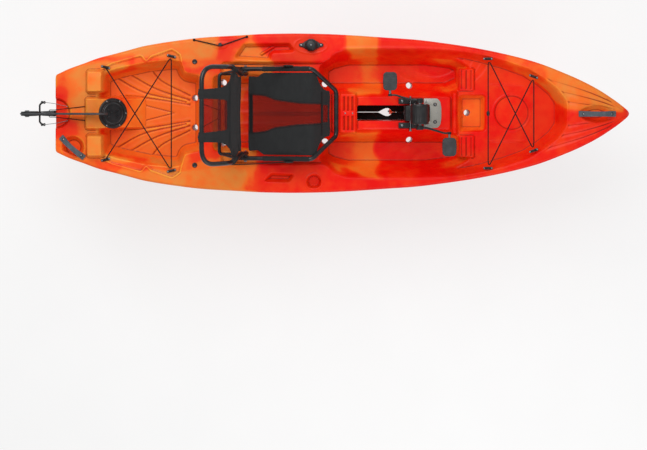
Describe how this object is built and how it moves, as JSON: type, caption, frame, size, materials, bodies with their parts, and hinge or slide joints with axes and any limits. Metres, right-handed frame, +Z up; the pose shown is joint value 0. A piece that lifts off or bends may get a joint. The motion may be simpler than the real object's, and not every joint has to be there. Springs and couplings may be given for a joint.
{
  "type": "pedal kayak",
  "caption": "Sit-on-top pedal kayak: moulded hull with framed seat, lift-out pedal drive turning a propeller, and a flip-over stern rudder.",
  "frame": {"origin": "on the flat of the hull's bottom, amidships, on the centre line", "axes": "+X to the bow, +Y to port, +Z up"},
  "size_m": [3.226, 0.857, 1.1541],
  "materials": {
    "hull_plastic": "rotomoulded, red blended with orange",
    "black_plastic": "satin moulded",
    "handle_rubber": "soft slate grey",
    "seal_rubber": "soft",
    "cord": "braided elastic cord",
    "steel": "brushed",
    "blade_plastic": "satin, dark charcoal",
    "frame_paint": "satin black powder coat",
    "seat_fabric": "woven, charcoal with a dark red mesh panel",
    "webbing": "flat woven webbing",
    "leg_aluminium": "black anodised",
    "plate_aluminium": "brushed",
    "pedal_rubber": "grooved tread",
    "propeller_plastic": "glossy orange red"
  },
  "bodies": {
    "hull": {"hull": "hull_plastic", "deck_plug_port": "black_plastic", "deck_plug_starboard": "black_plastic", "skeg_wear_strip": "black_plastic", "hatch_ring": "black_plastic", "bow_handle": "handle_rubber", "stern_handle": "handle_rubber", "stern_padeye_port_aft": "black_plastic", "stern_padeye_starboard_aft": "black_plastic", "stern_padeye_port_fore": "black_plastic", "stern_padeye_starboard_fore": "black_plastic", "bow_padeye_port_aft": "black_plastic", "bow_padeye_starboard_aft": "black_plastic", "bow_padeye_port_fore": "black_plastic", "bow_padeye_starboard_fore": "black_plastic", "stern_bungee": "cord", "bow_bungee": "cord", "bungee_bead": "black_plastic", "paddle_hook": "black_plastic", "paddle_bungee": "cord", "steering_base": "black_plastic", "rudder_bracket": "black_plastic", "rudder_pin": "steel", "steering_cable_port": "steel", "steering_cable_starboard": "steel", "rudder_lift_line": "cord", "seat_base_frame": "frame_paint", "seat_hinge_bolt_port": "steel", "seat_hinge_bolt_starboard": "steel", "seat_cover": "seat_fabric", "recline_strap_port": "webbing", "recline_strap_starboard": "webbing", "drive_rail_port": "black_plastic", "drive_rail_starboard": "black_plastic", "drive_plate": "plate_aluminium", "slot_seal": "seal_rubber"},
    "hatch_seal": {"hatch_seal": "seal_rubber"},
    "hatch_lid": {"hatch_lid": "black_plastic"},
    "steering_knob": {"steering_knob": "black_plastic"},
    "rudder_swivel": {"rudder_housing": "black_plastic", "rudder_yoke": "black_plastic", "rudder_blade_bolt": "steel"},
    "rudder_blade": {"rudder_blade": "blade_plastic"},
    "seat_back": {"seat_back_frame": "frame_paint", "back_cover": "seat_fabric", "back_cord": "cord"},
    "drive": {"drive_head": "black_plastic", "drive_leg": "leg_aluminium", "drive_saddle": "black_plastic", "cross_pin": "steel", "gear_case": "black_plastic"},
    "crank": {"crank_axle": "steel", "crank_bevel_wheel": "steel", "crank_arm_port": "black_plastic", "crank_arm_starboard": "black_plastic"},
    "pedal_port": {"pedal_port": "pedal_rubber"},
    "pedal_starboard": {"pedal_starboard": "pedal_rubber"},
    "drive_shaft": {"drive_shaft": "steel"},
    "propeller": {"prop_shaft": "steel", "propeller": "propeller_plastic"}
  },
  "joints": [
    {"name": "hatch_lift", "type": "slide", "parent": "hull", "child": "hatch_seal", "axis": [0.5446, 0, 0.8387], "range_m": [0, 0.022]},
    {"name": "hatch_turn", "type": "hinge", "parent": "hatch_seal", "child": "hatch_lid", "pos_m": [-1.224, 0, 0.295], "axis": [0.5446, 0, 0.8387], "range_deg": [0, 90]},
    {"name": "rudder_steer", "type": "hinge", "parent": "hull", "child": "rudder_swivel", "pos_m": [-1.59, 0, 0.33], "axis": [0, 0, 1], "range_deg": [-16, 16], "deforming": ["steering_cable_port", "steering_cable_starboard"]},
    {"name": "rudder_flip", "type": "hinge", "parent": "rudder_swivel", "child": "rudder_blade", "pos_m": [-1.665, 0, 0.371], "axis": [0, -1, 0], "range_deg": [0, 270]},
    {"name": "knob_turn", "type": "hinge", "parent": "hull", "child": "steering_knob", "pos_m": [-0.164, 0.365, 0.31], "axis": [0, 0, 1], "range_deg": [-32, 32]},
    {"name": "seat_back_fold", "type": "hinge", "parent": "hull", "child": "seat_back", "pos_m": [-0.512, 0, 0.346], "axis": [0, 1, 0], "range_deg": [0, 75], "deforming": ["recline_strap_port", "recline_strap_starboard"]},
    {"name": "drive_lift", "type": "slide", "parent": "hull", "child": "drive", "axis": [0, 0, 1], "range_m": [0, 0.66], "deforming": ["slot_seal"]},
    {"name": "crank_spin", "type": "hinge", "parent": "drive", "child": "crank", "pos_m": [0.405, 0, 0.45], "axis": [0, 1, 0], "continuous": true},
    {"name": "pedal_port_spin", "type": "hinge", "parent": "crank", "child": "pedal_port", "pos_m": [0.25, 0.172, 0.45], "axis": [0, 1, 0], "continuous": true},
    {"name": "pedal_starboard_spin", "type": "hinge", "parent": "crank", "child": "pedal_starboard", "pos_m": [0.56, -0.172, 0.45], "axis": [0, 1, 0], "continuous": true},
    {"name": "shaft_spin", "type": "hinge", "parent": "drive", "child": "drive_shaft", "pos_m": [0.405, 0, 0.1], "axis": [0, 0, 1], "continuous": true},
    {"name": "prop_spin", "type": "hinge", "parent": "drive", "child": "propeller", "pos_m": [0.295, 0, -0.19], "axis": [1, 0, 0], "continuous": true}
  ],
  "couplings": [
    {"joint": "knob_turn", "follows": "rudder_steer", "ratio": -2},
    {"joint": "shaft_spin", "follows": "crank_spin", "ratio": 4},
    {"joint": "prop_spin", "follows": "crank_spin", "ratio": 10}
  ]
}
